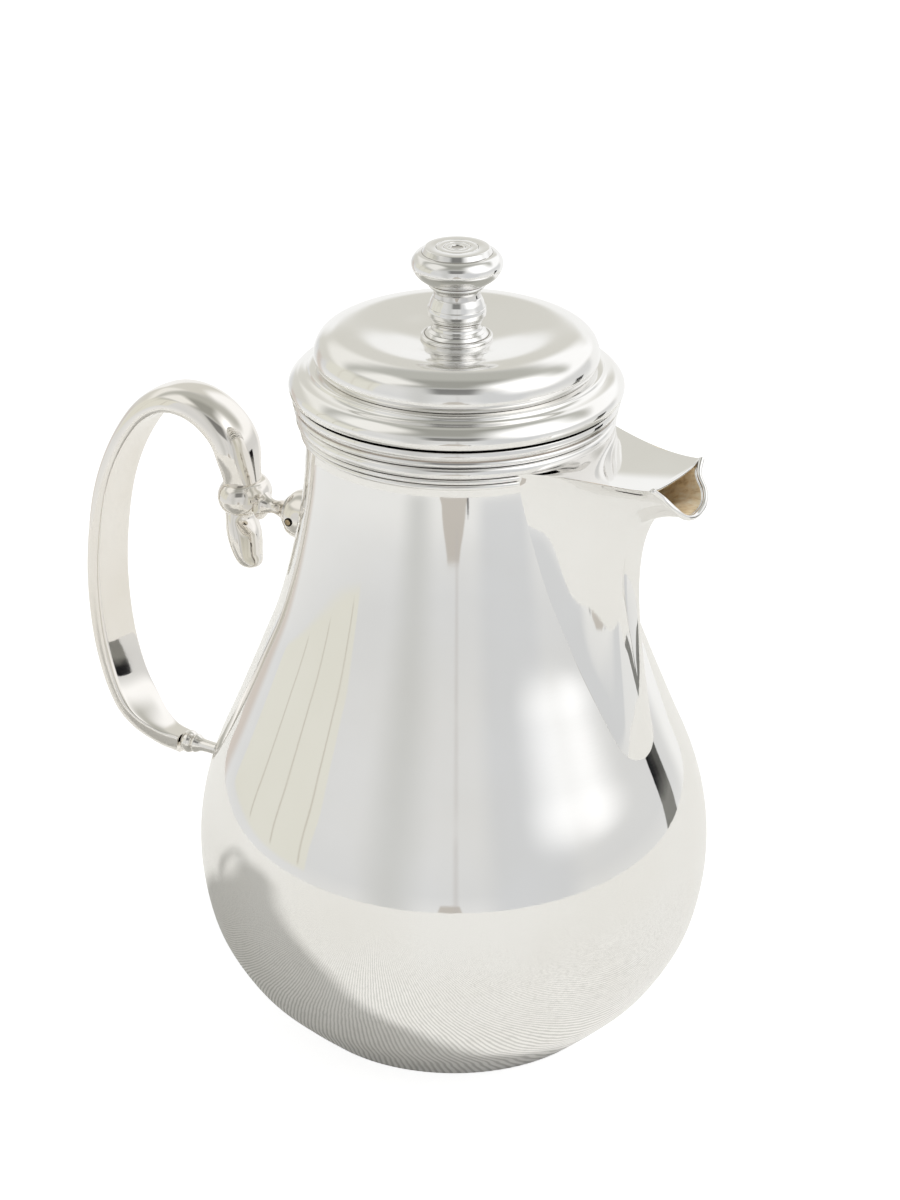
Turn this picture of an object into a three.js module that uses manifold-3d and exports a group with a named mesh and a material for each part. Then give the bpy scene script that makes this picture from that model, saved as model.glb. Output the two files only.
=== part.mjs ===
// Silver coffee pot: pear-shaped body, covered beak spout, C-scroll strap handle and a lift-off lid.
// Units are millimetres. +Z is up, the spout points along +X, the handle along -X, and the origin
// is the centre of the flat base.
import * as THREE from 'three';
import { mergeVertices } from 'three/addons/utils/BufferGeometryUtils.js';
import Module from 'manifold-3d';

const wasm = await Module();
wasm.setup();

// ---------------------------------------------------------------- driving dimensions
const GAP = 0.3; // clearance between neighbouring pieces
const ROUND_SIDES = 40; // sides of every large turned piece
const SMALL_SIDES = 20; // sides of every small turned piece

const WALL = 1.2; // sheet thickness of the body and lid
const BASE_RADIUS = 41; // where the belly meets the table
const BASE_PLATE_RADIUS = 37;
const NECK_RADIUS = 39; // outside of the neck under the collar
const NECK_TOP = 177.6;
const COLLAR_BOTTOM = 167.1;
const LID_SEAT = 178; // top of the collar, where the lid rests

// Outer outline of the body, radius and height, from the base to the neck.
const BODY_OUTLINE = [
  [BASE_RADIUS, 0], [48.9, 7], [56.6, 15], [63.65, 27], [67, 39], [68.1, 51], [67.1, 63],
  [64, 75], [58.2, 89], [51.6, 105.3], [46.4, 119], [42.4, 135], [39.7, 151], [38.85, 163],
  [NECK_RADIUS, 170],
];

// Root of the spout on the body: half width and height, from the rounded tip up to the collar.
const SPOUT_ROOT = [
  [0, 88.8], [4.3, 89.9], [7.6, 93.6], [10.2, 104], [13.4, 120.5], [16.7, 136], [19.2, 153],
  [20.9, 164], [21.3, 170],
];
const SPOUT_WALL = 1;
// Half of the mouth's rim as x, half width and z, from the lowest point to the flared upper corner.
const MOUTH_RIM = [
  [69.8, 0, 159.4], [69.6, 4.8, 160.7], [68.2, 7.6, 163.3], [65.5, 9.4, 166.5], [64.3, 12.9, 169.5],
];
const WIRE_STOP_ANGLE = 35; // where the two lower wires end against the spout, degrees from +X
const LIP_WIRE_RADIUS = 0.75;

// Centreline of the handle strap, x and z, from the lower knuckle up and over to the bead.
const STRAP_LINE = [
  [-89.6, 54], [-96.2, 55.2], [-103.2, 59.4], [-109, 67.6], [-113.1, 80], [-115, 95],
  [-114.7, 110], [-112, 127], [-106.7, 141], [-99, 152.5], [-90.6, 158.2], [-82, 158.9],
  [-74.2, 155.6], [-68.6, 149], [-66.6, 139.6],
];
const STRAP_WIDTH = 15;
const STRAP_THICKNESS = 5.9;
const BEAD_CENTRE = [-67, 134.6];
const BEAD_HALF_HEIGHT = 3.4;
const BEAD_HALF_DEPTH = 6.8; // along x
const BEAD_HALF_WIDTH = 8.5; // along y
const UPPER_JOINT_HEIGHT = 133;
const SOCKET_RADIUS = 6.8;
const SOCKET_REACH = 51.2; // distance of the socket's nose from the pot's axis
const PIN_RADIUS = 1;
const PIN_FROM_NOSE = 3; // how far behind the nose the cross pin sits
const LOWER_JOINT_HEIGHT = 54.8;
const KNUCKLE_X = -87.4;

const STUD_RADIUS = 2;
const LID_TOP = 193; // outside of the lid at its dished centre, where the finial stands
const BEZEL_DEPTH = 11;

const SILVER = { color: 0xd9d6cf, roughness: 0.12, metalness: 1 };

// ---------------------------------------------------------------- helpers
const group = new THREE.Group();

function addPiece(name, geometry) {
  const mesh = new THREE.Mesh(geometry, new THREE.MeshStandardMaterial(SILVER));
  mesh.name = name;
  group.add(mesh);
}

// Turned piece from a closed outline of [radius, height] pairs, outer side first, going up.
function turn(outline, sides = ROUND_SIDES) {
  const points = outline.map(([radius, height]) => new THREE.Vector2(radius, height));
  if (outline[0][0] > 0) points.push(points[0].clone());
  return new THREE.LatheGeometry(points, sides).rotateX(Math.PI / 2);
}

// The same, turned about the x axis: pairs are [radius, distance along +x].
function turnAlongX(outline, height, sides = SMALL_SIDES) {
  return turn(outline, sides).rotateY(Math.PI / 2).translate(0, 0, height);
}

function toSolid(geometry) {
  const bare = geometry.clone();
  bare.deleteAttribute('normal');
  bare.deleteAttribute('uv');
  const merged = mergeVertices(bare, 1e-4);
  const mesh = new wasm.Mesh({
    numProp: 3,
    vertProperties: new Float32Array(merged.attributes.position.array),
    triVerts: new Uint32Array(merged.index.array),
  });
  return new wasm.Manifold(mesh);
}

function toGeometry(solid) {
  const mesh = solid.getMesh();
  const geometry = new THREE.BufferGeometry();
  geometry.setAttribute('position', new THREE.BufferAttribute(new Float32Array(mesh.vertProperties), 3));
  geometry.setIndex(new THREE.BufferAttribute(new Uint32Array(mesh.triVerts), 1));
  geometry.computeVertexNormals();
  return geometry;
}

function cut(geometry, ...tools) {
  const solid = tools.reduce((left, tool) => left.subtract(toSolid(tool)), toSolid(geometry));
  return toGeometry(solid);
}

// Skin over a row of equal rings of points, closed by a fan at each end.
function loft(rings) {
  const count = rings[0].length;
  const positions = rings.flat().flatMap((point) => [point.x, point.y, point.z]);
  const faces = [];
  for (let ring = 0; ring + 1 < rings.length; ring += 1) {
    for (let corner = 0; corner < count; corner += 1) {
      const a = ring * count + corner;
      const b = ring * count + ((corner + 1) % count);
      faces.push(a, b, b + count, a, b + count, a + count);
    }
  }
  for (const [ring, flip] of [[0, true], [rings.length - 1, false]]) {
    const middle = new THREE.Vector3();
    rings[ring].forEach((point) => middle.addScaledVector(point, 1 / count));
    const hub = positions.length / 3;
    positions.push(middle.x, middle.y, middle.z);
    for (let corner = 0; corner < count; corner += 1) {
      const a = ring * count + corner;
      const b = ring * count + ((corner + 1) % count);
      faces.push(...(flip ? [b, a, hub] : [a, b, hub]));
    }
  }
  const geometry = new THREE.BufferGeometry();
  geometry.setAttribute('position', new THREE.Float32BufferAttribute(positions, 3));
  geometry.setIndex(faces);
  geometry.computeVertexNormals();
  return geometry;
}

function smoothLine(pairs) {
  return new THREE.SplineCurve(pairs.map(([x, y]) => new THREE.Vector2(x, y)));
}

// ---------------------------------------------------------------- body
const bodyCurve = smoothLine(BODY_OUTLINE);
const bodyOutside = bodyCurve.getSpacedPoints(20);

function bodyRadius(height) {
  const above = bodyOutside.findIndex((point) => point.y >= height);
  const low = bodyOutside[Math.max(above - 1, 0)];
  const high = bodyOutside[Math.max(above, 1)];
  return THREE.MathUtils.mapLinear(height, low.y, high.y, low.x, high.x);
}

// Outline of the outside moved by a distance along its own normal.
function bodyOffset(distance) {
  return bodyOutside.map((point, index) => {
    const before = bodyOutside[Math.max(index - 1, 0)];
    const after = bodyOutside[Math.min(index + 1, bodyOutside.length - 1)];
    const along = after.clone().sub(before).normalize();
    return [point.x + distance * along.y, point.y - distance * along.x];
  });
}

function bodyPlug(margin) {
  const side = bodyOffset(margin);
  return turn([[0, -1], [side[0][0], -1], ...side, [side.at(-1)[0], NECK_TOP], [0, NECK_TOP]]);
}

function bodyShell() {
  const inside = bodyOffset(-WALL).filter(([, height]) => height > 2 * WALL).reverse();
  const outside = bodyOffset(0);
  const shell = turn([
    [BASE_PLATE_RADIUS + GAP, 0], ...outside, [NECK_RADIUS, NECK_TOP], [NECK_RADIUS - WALL, NECK_TOP],
    ...inside, [BASE_PLATE_RADIUS + GAP, WALL],
  ]);
  return cut(shell, ...strainerHoles());
}

// Holes through the neck behind the spout, which keep the grounds back.
function strainerHoles() {
  const rows = [[152, 3], [144, 4], [136, 3], [128, 2]];
  const spacing = 6;
  const holes = [];
  for (const [height, count] of rows) {
    for (let index = 0; index < count; index += 1) {
      const side = (index - (count - 1) / 2) * spacing;
      const drill = new THREE.CylinderGeometry(1.6, 1.6, 16, 8).rotateZ(Math.PI / 2);
      holes.push(drill.translate(bodyRadius(height) - 2, side, height));
    }
  }
  return holes;
}

addPiece('body_shell', bodyShell());
addPiece('base_plate', turn([[0, 0], [BASE_PLATE_RADIUS, 0], [BASE_PLATE_RADIUS, WALL], [0, WALL]]));

// ---------------------------------------------------------------- collar rings round the mouth
const RING_BORE = NECK_RADIUS + GAP;

function collarRing(low, high, radius, bulge) {
  const middle = (low + high) / 2;
  return turn([
    [RING_BORE, low], [radius - bulge, low], [radius, middle], [radius - bulge, high], [RING_BORE, high],
  ]);
}

// The two lower wires stop at the spout, so a wedge is cut out of them.
function spoutWedge() {
  const reach = 60;
  const across = reach * Math.tan(THREE.MathUtils.degToRad(WIRE_STOP_ANGLE));
  const wedge = new THREE.Shape().moveTo(0, 0).lineTo(reach, -across).lineTo(reach, across).lineTo(0, 0);
  return new THREE.ExtrudeGeometry(wedge, { depth: 10, bevelEnabled: false }).translate(0, 0, 163);
}

addPiece('collar_foot_wire', cut(collarRing(COLLAR_BOTTOM, 168.5, 40.1, 0.5), spoutWedge()));
addPiece('collar_bead_wire', cut(collarRing(168.8, 170.1, 40.5, 0.5), spoutWedge()));
addPiece('collar_lower_ring', collarRing(170.4, 173.3, 41.3, 0.8));
addPiece('collar_mouth_ring', turn([
  [RING_BORE, 173.6], [40.9, 173.6], [41.7, 174.4], [41.5, 175.6], [42.3, 177], [42.2, LID_SEAT],
  [RING_BORE, LID_SEAT],
]));

// ---------------------------------------------------------------- spout
// The outside is a family of curves that leave the root on the body and flow to the mouth.
// share runs from 0 on the keel to 1 on the upper edge.
function spoutRoot(share) {
  const point = smoothLine(SPOUT_ROOT).getPoint(share);
  const radius = bodyRadius(point.y);
  return new THREE.Vector3(Math.sqrt(radius ** 2 - point.x ** 2), point.x, point.y);
}

const leftRim = MOUTH_RIM.map(([x, y, z]) => new THREE.Vector3(x, y, z));
const rightRim = MOUTH_RIM.slice(1).reverse().map(([x, y, z]) => new THREE.Vector3(x, -y, z));
const rimCurve = new THREE.CatmullRomCurve3([...rightRim, ...leftRim]);

function spoutMouth(share) {
  return rimCurve.getPoint(0.5 + 0.5 * share);
}

function spoutFlow(share, along) {
  const start = spoutRoot(share);
  const end = spoutMouth(share);
  const narrowing = 1 - (1 - share) ** 4;
  const leave = new THREE.Vector3(-11 + 45 * share ** 1.7, -18 * narrowing, 125 * (1 - share));
  const arrive = new THREE.Vector3(98 - 68 * share ** 0.8, -3 * narrowing, 4);
  const a = along;
  return start.multiplyScalar(2 * a ** 3 - 3 * a ** 2 + 1)
    .addScaledVector(leave, a ** 3 - 2 * a ** 2 + a)
    .addScaledVector(end, 3 * a ** 2 - 2 * a ** 3)
    .addScaledVector(arrive, a ** 3 - a ** 2);
}

const SPOUT_SIDE_STEPS = 9;
const SPOUT_TOP_STEPS = 4;
const SPOUT_DISH = 1; // how far the top plate dips between its edges at the mouth

// One closed ring of the spout's skin: right edge, keel, left edge, then back over the top plate.
function spoutRing(along) {
  const left = [];
  for (let step = 0; step <= SPOUT_SIDE_STEPS; step += 1) {
    left.push(spoutFlow(step / SPOUT_SIDE_STEPS, along));
  }
  const right = left.slice(1).reverse().map((point) => new THREE.Vector3(point.x, -point.y, point.z));
  const ring = [...right, ...left];
  const edge = left.at(-1);
  for (let step = 1; step < SPOUT_TOP_STEPS; step += 1) {
    const across = 1 - 2 * (step / SPOUT_TOP_STEPS);
    const crown = 1 - across ** 2;
    const neckBulge = (1 - along) * (bodyRadius(edge.z) - edge.x) * crown;
    ring.push(new THREE.Vector3(edge.x + neckBulge, edge.y * across, edge.z - SPOUT_DISH * along * crown));
  }
  return ring;
}

// The ring moved inwards by the wall thickness.
function spoutInnerRing(along) {
  const ring = spoutRing(along);
  const ahead = spoutRing(Math.min(along + 0.02, 1));
  const behind = spoutRing(Math.max(along - 0.02, 0));
  return ring.map((point, index) => {
    const next = ring[(index + 1) % ring.length];
    const last = ring[(index + ring.length - 1) % ring.length];
    const flow = ahead[index].clone().sub(behind[index]);
    const outward = next.clone().sub(last).cross(flow).normalize();
    return point.clone().addScaledVector(outward, -SPOUT_WALL);
  });
}

function pushRing(ring, distance, direction) {
  return ring.map((point) => point.clone().addScaledVector(direction, distance));
}

const rimRise = leftRim.at(-1).clone().sub(leftRim[0]);
const mouthNormal = new THREE.Vector3(rimRise.z, 0, -rimRise.x).normalize();

function spoutShell() {
  const inward = new THREE.Vector3(-1, 0, 0);
  const steps = [0, 0.12, 0.25, 0.38, 0.5, 0.62, 0.74, 0.86, 1];
  const outer = steps.map(spoutRing);
  const inner = steps.map(spoutInnerRing);
  const skin = loft([pushRing(outer[0], 6, inward), ...outer]);
  const hollow = loft([
    pushRing(inner[0], 8, inward), ...inner, pushRing(inner.at(-1), 2, mouthNormal),
  ]);
  return cut(skin, hollow, bodyPlug(GAP));
}

// Rounded wire along the lip, from one upper corner round the bottom to the other.
function lipWire() {
  const points = rimCurve.getPoints(24)
    .map((point) => point.addScaledVector(mouthNormal, LIP_WIRE_RADIUS + GAP));
  return new THREE.ExtrudeGeometry(new THREE.Shape().absarc(0, 0, LIP_WIRE_RADIUS, 0, 2 * Math.PI), {
    steps: 32, curveSegments: 6, bevelEnabled: false, extrudePath: new THREE.CatmullRomCurve3(points),
  });
}

addPiece('spout_shell', spoutShell());
addPiece('spout_lip_wire', lipWire());

// ---------------------------------------------------------------- lid
const BEZEL_RADIUS = NECK_RADIUS - WALL - 0.5;
const LID_RIM_TOP = 185.8;
const lidSkirt = [
  [36.3, 187.4], [36.7, 189], [36.3, 191], [35.2, 192.9], [33.2, 194.4], [30, 195.5], [25, 195.7],
  [18, 194.7], [10, 193.2],
];

function lidDome() {
  const outside = [[34.6, LID_RIM_TOP + GAP], ...lidSkirt, [STUD_RADIUS + GAP, LID_TOP]];
  const inside = lidSkirt.map(([radius, height]) => [radius - WALL, height - 0.8 * WALL]).reverse();
  return turn([...outside, [STUD_RADIUS + GAP, LID_TOP - WALL], ...inside, [33.4, LID_RIM_TOP + GAP]]);
}

addPiece('lid_dome', lidDome());
addPiece('lid_rim_moulding', turn([
  [BEZEL_RADIUS + GAP, LID_SEAT + GAP], [41.6, LID_SEAT + GAP], [42.8, 179.2], [43.15, 180.6],
  [42.7, 182.1], [41.1, 183.8], [39, 184.6], [38.3, 184.9], [37.6, LID_RIM_TOP], [33.4, LID_RIM_TOP],
  [33.4, LID_RIM_TOP - WALL], [BEZEL_RADIUS + GAP, LID_RIM_TOP - WALL],
]));
addPiece('lid_bezel', turn([
  [BEZEL_RADIUS - WALL, LID_SEAT - BEZEL_DEPTH], [BEZEL_RADIUS, LID_SEAT - BEZEL_DEPTH],
  [BEZEL_RADIUS, LID_RIM_TOP - WALL - GAP], [BEZEL_RADIUS - WALL, LID_RIM_TOP - WALL - GAP],
]));

// ---------------------------------------------------------------- finial on the lid
const FLANGE_TOP = LID_TOP + GAP + 1.6;
const STUD_TOP = LID_TOP + 13;

addPiece('finial_flange', turn([
  [STUD_RADIUS + GAP, LID_TOP + GAP], [9.2, LID_TOP + GAP + 0.3], [9.2, LID_TOP + 1.1], [7.6, LID_TOP + 1.4],
  [7.4, FLANGE_TOP], [STUD_RADIUS + GAP, FLANGE_TOP],
], SMALL_SIDES));
addPiece('finial_knob', turn([
  [0, STUD_TOP + GAP], [STUD_RADIUS + GAP, STUD_TOP + GAP], [STUD_RADIUS + GAP, FLANGE_TOP + GAP],
  [7.2, FLANGE_TOP + GAP], [6.2, 196.4], [6.3, 197.5],
  [7.2, 199], [7.6, 200.6], [7.2, 202.1], [6.3, 204.2], [6, 205.4], [6.2, 206.6], [7.3, 207.6],
  [9.2, 209.2], [10.6, 210.4], [11.5, 211.9], [11.75, 213.1], [11.4, 214.4], [10.3, 215.6], [8.9, 216.3],
  [8.6, 217.2], [8.3, 217.4], [0, 217.4],
], SMALL_SIDES));
addPiece('finial_stud', turn([
  [0, LID_TOP - 7], [STUD_RADIUS, LID_TOP - 7], [STUD_RADIUS, STUD_TOP], [0, STUD_TOP],
], 12));
addPiece('finial_washer', turn([
  [STUD_RADIUS + GAP, LID_TOP - WALL - 1.3], [6, LID_TOP - WALL - 1.3], [6, LID_TOP - WALL - GAP],
  [STUD_RADIUS + GAP, LID_TOP - WALL - GAP],
], 16));
addPiece('finial_nut', turn([
  [STUD_RADIUS + GAP, LID_TOP - 6], [4.4, LID_TOP - 6], [4.4, LID_TOP - WALL - 1.6],
  [STUD_RADIUS + GAP, LID_TOP - WALL - 1.6],
], 6));

// ---------------------------------------------------------------- handle strap, bead and scroll tip
const strapCurve = new THREE.CatmullRomCurve3(STRAP_LINE.map(([x, z]) => new THREE.Vector3(x, 0, z)));

// Half outline of the strap: flat inside, rounded outside. across and out are fractions.
const STRAP_SECTION = [
  [-0.88, -0.5], [0.88, -0.5], [1, -0.3], [0.97, 0.12], [0.74, 0.4], [0.26, 0.5],
  [-0.26, 0.5], [-0.74, 0.4], [-0.97, 0.12], [-1, -0.3],
];

function strap() {
  const steps = 44;
  const rings = [];
  for (let step = 0; step <= steps; step += 1) {
    const along = step / steps;
    const place = strapCurve.getPointAt(along);
    const tangent = strapCurve.getTangentAt(along);
    const outward = new THREE.Vector3(-tangent.z, 0, tangent.x);
    const start = THREE.MathUtils.smoothstep(along, 0, 0.13);
    const swell = THREE.MathUtils.smoothstep(along, 0.6, 0.97);
    const halfWidth = STRAP_WIDTH * (0.22 + 0.28 * start + 0.02 * swell);
    const thickness = STRAP_THICKNESS * (1 + 0.25 * swell);
    rings.push(STRAP_SECTION.map(([across, out]) => place.clone()
      .addScaledVector(outward, out * thickness)
      .add(new THREE.Vector3(0, across * halfWidth, 0))));
  }
  return loft(rings);
}

function beadRing(margin) {
  const [x, z] = BEAD_CENTRE;
  const shape = turn([
    [0, -BEAD_HALF_HEIGHT - margin], [0.72, -BEAD_HALF_HEIGHT - margin], [0.93, -0.62 * BEAD_HALF_HEIGHT],
    [1, 0], [0.93, 0.62 * BEAD_HALF_HEIGHT], [0.72, BEAD_HALF_HEIGHT + margin],
    [0, BEAD_HALF_HEIGHT + margin],
  ], SMALL_SIDES);
  return shape.scale(BEAD_HALF_DEPTH + margin, BEAD_HALF_WIDTH + margin, 1).translate(x, 0, z);
}

function scrollTip() {
  const [x, z] = BEAD_CENTRE;
  const top = z - BEAD_HALF_HEIGHT - GAP;
  const outline = [[0, -17.2], [2.2, -16.6], [4, -14], [5, -10.4], [5.1, -6.4], [4.4, -2.6], [4.6, 0], [0, 0]];
  return turn(outline, SMALL_SIDES).scale(1, 1.1, 1).translate(x + 0.6, 0, top);
}

addPiece('handle_strap', strap());
addPiece('handle_bead', beadRing(0));
addPiece('handle_scroll_tip', scrollTip());

// ---------------------------------------------------------------- upper joint: socket, stem and cross pin
const NOSE = -SOCKET_REACH;
const PIN_X = NOSE + PIN_FROM_NOSE;
const SOCKET_BORE = 4.2;

function pinHole() {
  return new THREE.CylinderGeometry(PIN_RADIUS + GAP, PIN_RADIUS + GAP, 30, 12)
    .translate(PIN_X, 0, UPPER_JOINT_HEIGHT);
}

function upperSocket() {
  const shape = turnAlongX([
    [0, NOSE + 8], [SOCKET_BORE, NOSE + 8], [SOCKET_BORE, NOSE + 0.4], [5, NOSE], [6.2, NOSE + 1],
    [SOCKET_RADIUS, NOSE + 3], [SOCKET_RADIUS, -35], [0, -35],
  ], UPPER_JOINT_HEIGHT);
  return cut(shape, bodyPlug(GAP), pinHole());
}

function upperStem() {
  const tang = SOCKET_BORE - GAP;
  const shape = turnAlongX([
    [0, -61.5], [2.9, -61.5], [2.6, -60], [1.9, -58], [2.1, -56], [3.2, -53.6], [4.8, NOSE - GAP - 0.3],
    [tang, NOSE - GAP], [tang, NOSE + 7], [0, NOSE + 7],
  ], UPPER_JOINT_HEIGHT);
  return cut(shape, beadRing(GAP), pinHole());
}

addPiece('upper_socket', upperSocket());
addPiece('handle_upper_stem', upperStem());
addPiece('upper_cross_pin', new THREE.CylinderGeometry(PIN_RADIUS, PIN_RADIUS, 2 * SOCKET_RADIUS + 0.6, 12)
  .translate(PIN_X, 0, UPPER_JOINT_HEIGHT));

// ---------------------------------------------------------------- lower joint: knuckle, stem and boss
addPiece('handle_lower_knuckle', turnAlongX([
  [0, -1.5], [2.4, -1.5], [3.2, -0.6], [3.2, 0.6], [2.4, 1.5], [0, 1.5],
], LOWER_JOINT_HEIGHT).translate(KNUCKLE_X, 0, 0));
addPiece('handle_lower_stem', turnAlongX([
  [0, KNUCKLE_X + 1.5 + GAP], [2.6, KNUCKLE_X + 1.5 + GAP], [1.8, -83.5], [1.7, -78], [0, -78],
], LOWER_JOINT_HEIGHT));
addPiece('lower_boss', cut(turnAlongX([
  [0, -78 + GAP], [1.9, -78 + GAP], [2.2, -76], [3.4, -73], [6, -70], [7.4, -67], [7.4, -60], [0, -60],
], LOWER_JOINT_HEIGHT), bodyPlug(GAP)));

export default group;
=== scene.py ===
import math

import bmesh
import bpy
from mathutils import Matrix, Vector


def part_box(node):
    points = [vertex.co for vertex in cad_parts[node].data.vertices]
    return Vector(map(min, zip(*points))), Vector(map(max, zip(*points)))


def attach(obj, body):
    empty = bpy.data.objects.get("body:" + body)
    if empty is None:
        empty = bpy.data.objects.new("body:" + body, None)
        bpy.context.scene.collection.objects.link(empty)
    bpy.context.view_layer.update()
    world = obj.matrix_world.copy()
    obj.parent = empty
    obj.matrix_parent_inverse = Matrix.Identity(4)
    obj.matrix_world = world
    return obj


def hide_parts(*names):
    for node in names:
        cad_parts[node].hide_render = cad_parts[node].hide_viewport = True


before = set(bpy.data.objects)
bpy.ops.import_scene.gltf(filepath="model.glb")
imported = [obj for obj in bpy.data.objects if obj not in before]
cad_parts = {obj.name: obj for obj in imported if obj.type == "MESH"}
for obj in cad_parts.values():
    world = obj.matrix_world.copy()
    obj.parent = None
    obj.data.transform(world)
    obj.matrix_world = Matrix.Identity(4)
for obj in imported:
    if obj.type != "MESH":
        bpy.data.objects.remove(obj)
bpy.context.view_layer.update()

# Looks of the silver coffee pot. Shapes are built in millimetres, in the CAD part's own frame:
# +Z up, spout along +X, handle along -X, origin at the centre of the base.
MM = 0.001
ROUND_SIDES = 224
SMALL_SIDES = 96


# ---------------------------------------------------------------- reading the frame
def span(node):
    """Lowest and highest corner of a CAD node, in millimetres."""
    low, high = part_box(node)
    return low / MM, high / MM


def middle(node):
    """Middle of a CAD node's box, in millimetres."""
    low, high = span(node)
    return (low + high) / 2


# ---------------------------------------------------------------- outlines
def curve_point(points, i, t):
    """Point on the Catmull-Rom curve through the points, a share t along its span i."""
    p1 = Vector(points[i])
    p2 = Vector(points[i + 1])
    p0 = Vector(points[i - 1]) if i > 0 else p1
    p3 = Vector(points[i + 2]) if i + 2 < len(points) else p2
    leave = (p2 - p0) / 2
    arrive = (p3 - p1) / 2
    return (
        (2 * p1 - 2 * p2 + leave + arrive) * t**3
        + (3 * p2 - 3 * p1 - 2 * leave - arrive) * t**2
        + leave * t
        + p1
    )


def spline(points, steps=8):
    """Smooth curve through the points, cut into equal steps on each span."""
    fine = []
    for i in range(len(points) - 1):
        fine += [curve_point(points, i, step / steps) for step in range(steps)]
    return fine + [Vector(points[-1])]


def spline_at(points, share):
    """Point on the same curve at a share from 0 to 1 of its spans."""
    spans = len(points) - 1
    place = min(max(share, 0), 1) * spans
    i = min(int(place), spans - 1)
    return curve_point(points, i, place - i)


def rounded(points, radius, steps=5, closed=True):
    """Polygon whose corners are eased with short arcs of about the given radius."""
    count = len(points)
    eased = []
    for i in range(count):
        here = Vector(points[i])
        if not closed and i in (0, count - 1):
            eased.append(here)
            continue
        before = Vector(points[i - 1]) - here
        after = Vector(points[(i + 1) % count]) - here
        cut = min(radius, 0.45 * before.length, 0.45 * after.length)
        start = here + before.normalized() * cut
        end = here + after.normalized() * cut
        for step in range(steps + 1):
            t = step / steps
            eased.append(start * (1 - t) ** 2 + here * 2 * t * (1 - t) + end * t**2)
    return eased


def eased_ring(points, rounds=3):
    """Closed polygon turned into a smooth ring by cutting its corners."""
    ring = [Vector(p) for p in points]
    for _ in range(rounds):
        finer = []
        for i, here in enumerate(ring):
            after = ring[(i + 1) % len(ring)]
            finer += [here.lerp(after, 0.25), here.lerp(after, 0.75)]
        ring = finer
    return ring


def smoothstep(value, low, high):
    """Eased rise from 0 to 1 as a value goes from low to high."""
    t = min(max((value - low) / (high - low), 0), 1)
    return t * t * (3 - 2 * t)


def direction_of(azimuth, elevation):
    """Unit vector towards an azimuth and elevation given in degrees."""
    a, e = math.radians(azimuth), math.radians(elevation)
    return Vector((math.cos(a) * math.cos(e), math.sin(a) * math.cos(e), math.sin(e)))


# ---------------------------------------------------------------- meshes
def finish_mesh(bm, name, sharp=35):
    """Turns a mesh in millimetres into a smooth-shaded object in metres."""
    bmesh.ops.remove_doubles(bm, verts=bm.verts, dist=0.002)
    bmesh.ops.recalc_face_normals(bm, faces=bm.faces)
    bmesh.ops.scale(bm, vec=(MM, MM, MM), verts=bm.verts)
    mesh = bpy.data.meshes.new(name)
    bm.to_mesh(mesh)
    bm.free()
    mesh.shade_smooth()
    mesh.set_sharp_from_angle(angle=math.radians(sharp))
    piece = bpy.data.objects.new(name, mesh)
    bpy.context.scene.collection.objects.link(piece)
    return piece


def turn(bm, outline, sides=ROUND_SIDES, start=0, stop=360, place=None, slot=0, closed=True):
    """Revolves an outline of (radius, height) about Z. A part turn gets flat ends."""
    full = stop - start >= 360
    count = sides if full else max(2, round(sides * (stop - start) / 360)) + 1
    place = place or Matrix.Identity(4)
    columns = []
    for i in range(count):
        angle = math.radians(start + (stop - start) * i / (count if full else count - 1))
        column = []
        for point in outline:
            spot = Vector((point[0] * math.cos(angle), point[0] * math.sin(angle), point[1]))
            column.append(bm.verts.new(place @ spot))
        columns.append(column)
    rows = len(outline)
    for i in range(count if full else count - 1):
        left, right = columns[i], columns[(i + 1) % count]
        for j in range(rows if closed else rows - 1):
            k = (j + 1) % rows
            if outline[j][0] < 1e-6 and outline[k][0] < 1e-6:
                continue
            corners = [left[j], right[j], right[k], left[k]]
            if outline[j][0] < 1e-6:
                corners = [left[j], right[k], left[k]]
            elif outline[k][0] < 1e-6:
                corners = [left[j], right[j], left[k]]
            bm.faces.new(corners).material_index = slot
    if not full:
        bm.faces.new(columns[0])
        bm.faces.new(list(reversed(columns[-1])))


def skin(bm, rings, closed_ring=True, cap_start=False, cap_end=False, slot=0):
    """Skin over a row of equal rings; returns the rows of vertices."""
    rows = [[bm.verts.new(point) for point in ring] for ring in rings]
    count = len(rows[0])
    for a, b in zip(rows, rows[1:]):
        for i in range(count if closed_ring else count - 1):
            j = (i + 1) % count
            bm.faces.new([a[i], a[j], b[j], b[i]]).material_index = slot
    if cap_start:
        fan(bm, rows[0], slot)
    if cap_end:
        fan(bm, rows[-1], slot)
    return rows


def fan(bm, ring, slot=0):
    """Closes a ring of vertices with triangles to its centre."""
    centre = Vector((0, 0, 0))
    for vert in ring:
        centre += vert.co / len(ring)
    hub = bm.verts.new(centre)
    for i, vert in enumerate(ring):
        bm.faces.new([vert, ring[(i + 1) % len(ring)], hub]).material_index = slot


def bridge(bm, ring_a, ring_b, slot=0):
    """Band of faces between two equal rings of vertices."""
    count = len(ring_a)
    for i in range(count):
        j = (i + 1) % count
        bm.faces.new([ring_a[i], ring_a[j], ring_b[j], ring_b[i]]).material_index = slot


def along_x(height):
    """Turns a piece made about Z so that its heights run along +X, at the given height."""
    return Matrix.Translation((0, 0, height)) @ Matrix.Rotation(math.pi / 2, 4, "Y")


def turned(name, outline, sides=ROUND_SIDES, place=None, sharp=35, start=0, stop=360):
    """Object made by turning one outline of (radius, height)."""
    bm = bmesh.new()
    turn(bm, outline, sides, start, stop, place)
    return finish_mesh(bm, name, sharp)


# ---------------------------------------------------------------- materials
def new_material(name):
    """Material with nodes: the material, its tree and its main shader."""
    material = bpy.data.materials.new(name)
    material.use_nodes = True
    tree = material.node_tree
    return material, tree, tree.nodes["Principled BSDF"]


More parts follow.
